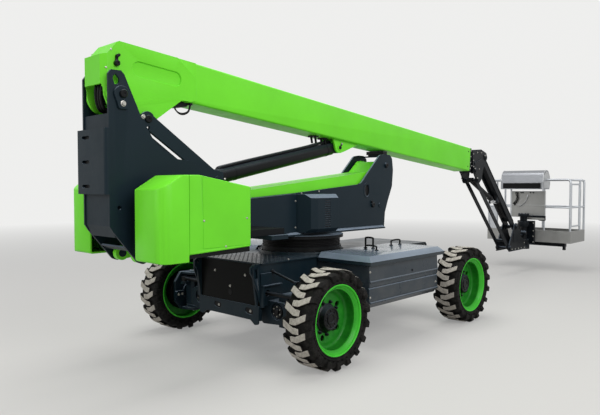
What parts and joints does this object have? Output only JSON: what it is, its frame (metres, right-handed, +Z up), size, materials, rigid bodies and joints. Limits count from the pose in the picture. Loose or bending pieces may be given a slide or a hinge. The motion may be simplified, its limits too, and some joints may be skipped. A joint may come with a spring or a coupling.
{
  "type": "articulating boom lift",
  "caption": "Wheeled boom lift with a folding riser, telescopic upper boom, parallel-link jib and railed work platform.",
  "frame": {"origin": "on the ground, in the middle of the stowed machine's length and width", "axes": "+X points to the work platform, +Y to the machine's left side, +Z up"},
  "size_m": [9.221, 2.384, 2.6148],
  "materials": {
    "lime_paint": "satin gloss paint",
    "dark_blue_grey_paint": "satin paint",
    "grey_gloss_cover": "gloss moulded cover",
    "black_paint": "satin black paint",
    "tyre_rubber": "matt rubber, dusty on the bars",
    "bare_aluminium": "brushed",
    "chrome_rod": "polished",
    "cast_weight": "rough",
    "black_plastic": "matt"
  },
  "bodies": {
    "chassis": {"chassis_frame": "dark_blue_grey_paint", "steer_axle": "dark_blue_grey_paint", "fixed_axle": "dark_blue_grey_paint", "side_boxes": "dark_blue_grey_paint", "box_lids": "grey_gloss_cover", "slew_ring": "black_paint", "steer_cylinder": "black_paint"},
    "steer_rod": {"steer_rod": "chrome_rod"},
    "knuckle_left": {"knuckle_left": "dark_blue_grey_paint"},
    "knuckle_right": {"knuckle_right": "dark_blue_grey_paint"},
    "turntable": {"turntable_frame": "dark_blue_grey_paint", "turret_panels": "dark_blue_grey_paint", "boom_rest": "black_plastic", "swing_drive_box": "dark_blue_grey_paint", "cover_left": "lime_paint", "cover_right": "lime_paint", "counterweights": "cast_weight"},
    "riser_arm": {"riser_arm": "lime_paint"},
    "riser_link": {"riser_link": "lime_paint"},
    "riser_barrel": {"riser_cylinder_barrel": "black_paint"},
    "riser_rod": {"riser_cylinder_rod": "chrome_rod"},
    "upright": {"upright": "dark_blue_grey_paint", "upright_rear_box": "dark_blue_grey_paint", "upright_braces": "dark_blue_grey_paint"},
    "boom": {"boom_outer": "lime_paint"},
    "boom_barrel": {"boom_cylinder_barrel": "black_paint"},
    "boom_rod": {"boom_cylinder_rod": "chrome_rod"},
    "fly": {"boom_fly": "lime_paint"},
    "jib_head": {"jib_head": "dark_blue_grey_paint"},
    "jib_upper": {"jib_upper_link": "black_paint"},
    "jib_lower": {"jib_lower_link": "black_paint"},
    "jib_barrel": {"jib_cylinder_barrel": "black_paint"},
    "jib_rod": {"jib_cylinder_rod": "chrome_rod"},
    "jib_foot": {"jib_foot": "dark_blue_grey_paint"},
    "platform": {"platform_mount": "dark_blue_grey_paint", "platform_tray": "bare_aluminium", "platform_rails": "bare_aluminium", "control_hood": "bare_aluminium", "control_panel": "bare_aluminium"},
    "gate": {"platform_gate": "bare_aluminium"},
    "wheel_rear_left": {"tyre_rear_left": "tyre_rubber", "wheel_rear_left": "lime_paint"},
    "wheel_rear_right": {"tyre_rear_right": "tyre_rubber", "wheel_rear_right": "lime_paint"},
    "wheel_front_left": {"tyre_front_left": "tyre_rubber", "wheel_front_left": "lime_paint"},
    "wheel_front_right": {"tyre_front_right": "tyre_rubber", "wheel_front_right": "lime_paint"}
  },
  "joints": [
    {"name": "steer", "type": "hinge", "parent": "chassis", "child": "knuckle_left", "pos_m": [-3.0685, 0.8, 0.42], "axis": [0, 0, 1], "range_deg": [-35, 35]},
    {"name": "steer_right", "type": "hinge", "parent": "chassis", "child": "knuckle_right", "pos_m": [-3.0685, -0.8, 0.42], "axis": [0, 0, 1], "range_deg": [-36.4, 36.4]},
    {"name": "steer_rod_slide", "type": "slide", "parent": "chassis", "child": "steer_rod", "axis": [0, -1, 0], "range_m": [-0.0708, 0.0708]},
    {"name": "roll_rear_left", "type": "hinge", "parent": "knuckle_left", "child": "wheel_rear_left", "pos_m": [-3.0685, 1.042, 0.42], "axis": [0, 1, 0], "continuous": true},
    {"name": "roll_rear_right", "type": "hinge", "parent": "knuckle_right", "child": "wheel_rear_right", "pos_m": [-3.0685, -1.042, 0.42], "axis": [0, 1, 0], "continuous": true},
    {"name": "roll_front_left", "type": "hinge", "parent": "chassis", "child": "wheel_front_left", "pos_m": [-0.7025, 1.042, 0.42], "axis": [0, 1, 0], "continuous": true},
    {"name": "roll_front_right", "type": "hinge", "parent": "chassis", "child": "wheel_front_right", "pos_m": [-0.7025, -1.042, 0.42], "axis": [0, 1, 0], "continuous": true},
    {"name": "slew", "type": "hinge", "parent": "chassis", "child": "turntable", "pos_m": [-2.2685, 0, 1.02], "axis": [0, 0, 1], "range_deg": [-177.5, 177.5]},
    {"name": "riser", "type": "hinge", "parent": "turntable", "child": "riser_arm", "pos_m": [-0.9985, 0, 1.77], "axis": [0, 1, 0], "range_deg": [0, 70]},
    {"name": "riser_link_hinge", "type": "hinge", "parent": "turntable", "child": "riser_link", "pos_m": [-1.2685, 0, 1.31], "axis": [0, 1, 0], "range_deg": [-1.4, 71.4]},
    {"name": "upright_hinge", "type": "hinge", "parent": "riser_arm", "child": "upright", "pos_m": [-4.0185, 0, 1.44], "axis": [0, 1, 0], "range_deg": [-71.4, 1.4]},
    {"name": "riser_barrel_hinge", "type": "hinge", "parent": "turntable", "child": "riser_barrel", "pos_m": [-1.1185, 0, 1.3], "axis": [0, 1, 0], "range_deg": [-1.3, 66.4]},
    {"name": "riser_rod_slide", "type": "slide", "parent": "riser_barrel", "child": "riser_rod", "axis": [-0.9994, 0, -0.0333], "range_m": [-0.002, 0.564]},
    {"name": "boom_lift", "type": "hinge", "parent": "upright", "child": "boom", "pos_m": [-4.4585, 0, 2.2], "axis": [0, -1, 0], "range_deg": [0, 72]},
    {"name": "boom_barrel_hinge", "type": "hinge", "parent": "boom", "child": "boom_barrel", "pos_m": [-1.7385, 0, 1.95], "axis": [0, -1, 0], "range_deg": [-0.13, 6.61]},
    {"name": "boom_rod_slide", "type": "slide", "parent": "boom_barrel", "child": "boom_rod", "axis": [-0.9791, 0, -0.2033], "range_m": [-0.002, 1.2473]},
    {"name": "telescope", "type": "slide", "parent": "boom", "child": "fly", "axis": [0.9957, 0, -0.0929], "range_m": [0, 3.3]},
    {"name": "jib_level", "type": "hinge", "parent": "fly", "child": "jib_head", "pos_m": [1.5015, 0, 1.762], "axis": [0, -1, 0], "range_deg": [-73.44, 1.44]},
    {"name": "jib_lift", "type": "hinge", "parent": "jib_head", "child": "jib_upper", "pos_m": [1.8315, 0, 1.97], "axis": [0, -1, 0], "range_deg": [-15, 80]},
    {"name": "jib_lower_hinge", "type": "hinge", "parent": "jib_head", "child": "jib_lower", "pos_m": [1.5815, 0, 1.62], "axis": [0, -1, 0], "range_deg": [-16.9, 81.9]},
    {"name": "jib_foot_hinge", "type": "hinge", "parent": "jib_upper", "child": "jib_foot", "pos_m": [3.0615, 0, 0.83], "axis": [0, -1, 0], "range_deg": [-81.9, 16.9]},
    {"name": "jib_barrel_hinge", "type": "hinge", "parent": "jib_head", "child": "jib_barrel", "pos_m": [1.5815, 0, 1.62], "axis": [0, -1, 0], "range_deg": [-13.01, 63.06]},
    {"name": "jib_rod_slide", "type": "slide", "parent": "jib_barrel", "child": "jib_rod", "axis": [0.9213, 0, -0.389], "range_m": [-0.086, 0.4502]},
    {"name": "platform_rotate", "type": "hinge", "parent": "jib_foot", "child": "platform", "pos_m": [3.6615, 0, 0.5], "axis": [0, 0, 1], "range_deg": [-90, 90]},
    {"name": "gate", "type": "hinge", "parent": "platform", "child": "gate", "pos_m": [4.3235, -0.741, 1], "axis": [0, 0, -1], "range_deg": [0, 85]}
  ],
  "couplings": [
    {"joint": "steer_right", "follows": "steer", "ratio": 1},
    {"joint": "steer_rod_slide", "follows": "steer", "m_per_rad": 0.1127},
    {"joint": "riser_link_hinge", "follows": "riser", "ratio": 1},
    {"joint": "upright_hinge", "follows": "riser", "ratio": -1},
    {"joint": "riser_barrel_hinge", "follows": "riser", "ratio": 0.93},
    {"joint": "riser_rod_slide", "follows": "riser", "m_per_rad": 0.46},
    {"joint": "boom_barrel_hinge", "follows": "boom_lift", "ratio": 0.09},
    {"joint": "boom_rod_slide", "follows": "boom_lift", "m_per_rad": 0.991},
    {"joint": "jib_level", "follows": "boom_lift", "ratio": -1},
    {"joint": "jib_lower_hinge", "follows": "jib_lift", "ratio": 1},
    {"joint": "jib_foot_hinge", "follows": "jib_lift", "ratio": -1},
    {"joint": "jib_barrel_hinge", "follows": "jib_lift", "ratio": 0.77},
    {"joint": "jib_rod_slide", "follows": "jib_lift", "m_per_rad": 0.321}
  ]
}
